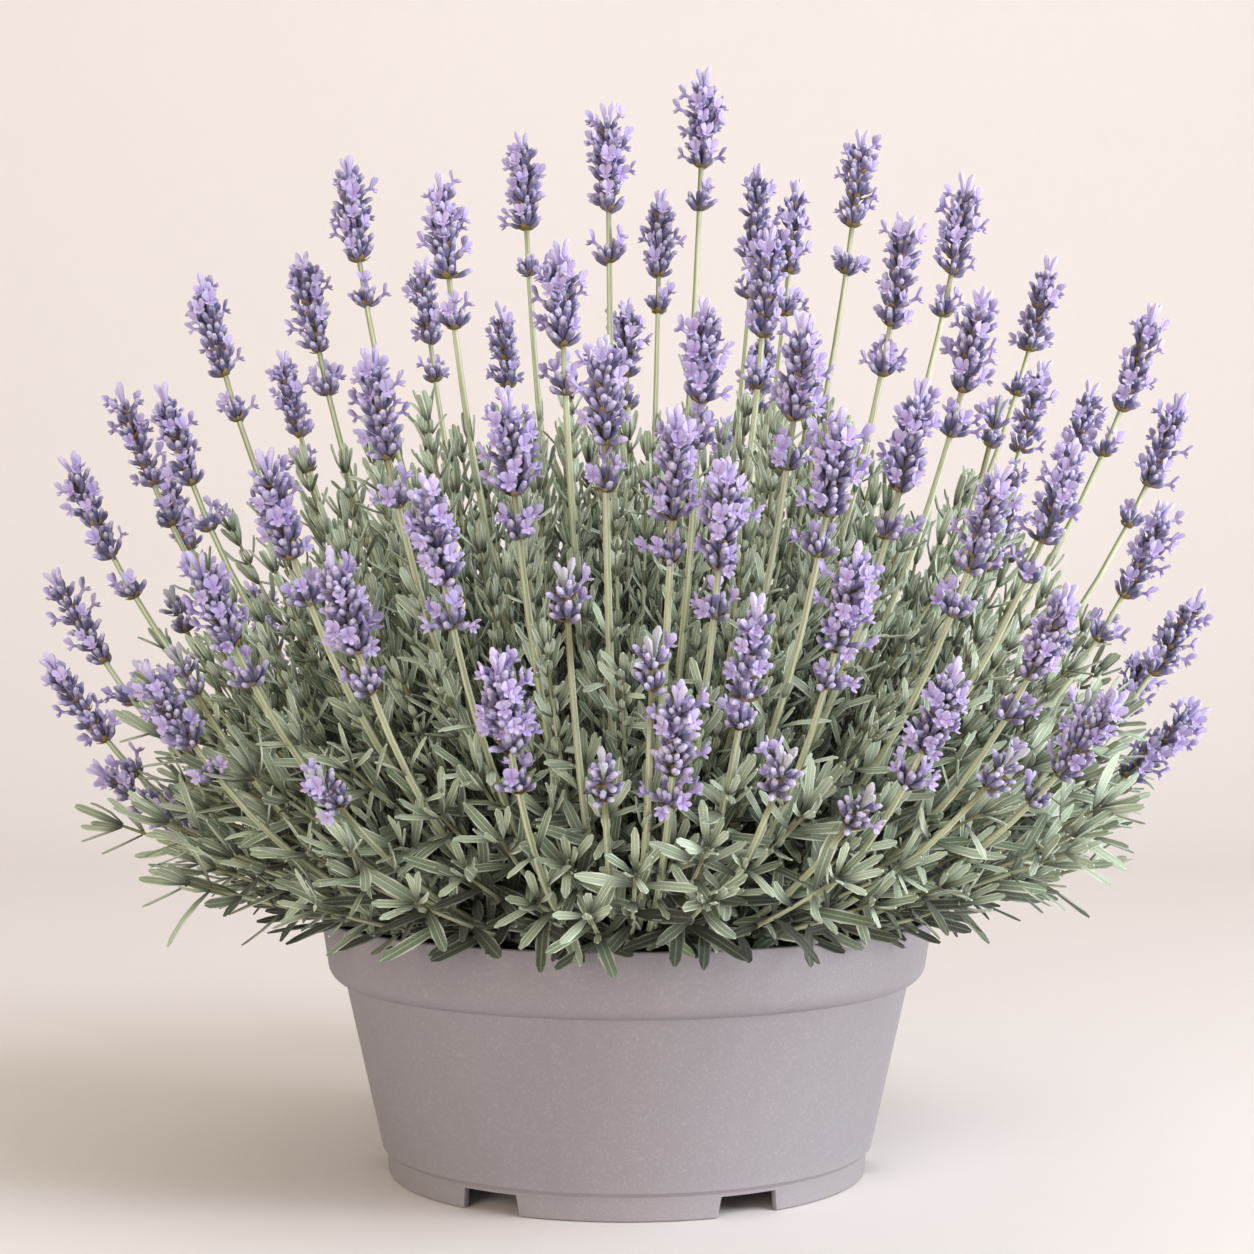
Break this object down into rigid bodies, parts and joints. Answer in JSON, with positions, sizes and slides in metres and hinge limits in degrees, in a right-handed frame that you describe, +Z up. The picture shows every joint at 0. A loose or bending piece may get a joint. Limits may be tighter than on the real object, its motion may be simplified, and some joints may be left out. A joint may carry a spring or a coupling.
{
  "type": "potted lavender",
  "caption": "Bushy lavender plant in bloom, a dome of violet flower spikes over narrow grey-green leaves, in a low round taupe nursery pot with a notched foot.",
  "frame": {"origin": "on the floor, under the middle of the plant's and the pot's overall box", "axes": "+Z up along the pot's axis; -Y is the front that the picture shows; +X is the viewer's right"},
  "size_m": [0.4463, 0.4584, 0.4347],
  "materials": {
    "pot_plastic": "matte",
    "soil": "matte",
    "bark": "matte",
    "stem": "matte",
    "foliage": "matte",
    "blossom": "matte"
  },
  "bodies": {
    "root": {"pot": "pot_plastic", "potting_soil": "soil", "woody_crown": "bark", "flower_stem_01": "stem", "flower_spike_01": "blossom", "flower_stem_02": "stem", "flower_spike_02": "blossom", "flower_stem_03": "stem", "flower_spike_03": "blossom", "flower_stem_04": "stem", "flower_spike_04": "blossom", "flower_stem_05": "stem", "flower_spike_05": "blossom", "flower_stem_06": "stem", "flower_spike_06": "blossom", "flower_stem_07": "stem", "flower_spike_07": "blossom", "flower_stem_08": "stem", "flower_spike_08": "blossom", "flower_stem_09": "stem", "flower_spike_09": "blossom", "flower_stem_10": "stem", "flower_spike_10": "blossom", "flower_stem_11": "stem", "flower_spike_11": "blossom", "flower_stem_12": "stem", "flower_spike_12": "blossom", "flower_stem_13": "stem", "flower_spike_13": "blossom", "flower_stem_14": "stem", "flower_spike_14": "blossom", "flower_stem_15": "stem", "flower_spike_15": "blossom", "flower_stem_16": "stem", "flower_spike_16": "blossom", "flower_stem_17": "stem", "flower_spike_17": "blossom", "flower_stem_18": "stem", "flower_spike_18": "blossom", "flower_stem_19": "stem", "flower_spike_19": "blossom", "flower_stem_20": "stem", "flower_spike_20": "blossom", "flower_stem_21": "stem", "flower_spike_21": "blossom", "flower_stem_22": "stem", "flower_spike_22": "blossom", "flower_stem_23": "stem", "flower_spike_23": "blossom", "leafy_shoot_01": "foliage", "leafy_shoot_02": "foliage", "leafy_shoot_03": "foliage", "leafy_shoot_04": "foliage", "leafy_shoot_05": "foliage", "leafy_shoot_06": "foliage", "leafy_shoot_07": "foliage", "leafy_shoot_08": "foliage", "leafy_shoot_09": "foliage", "leafy_shoot_10": "foliage", "leafy_shoot_11": "foliage"}
  },
  "joints": []
}
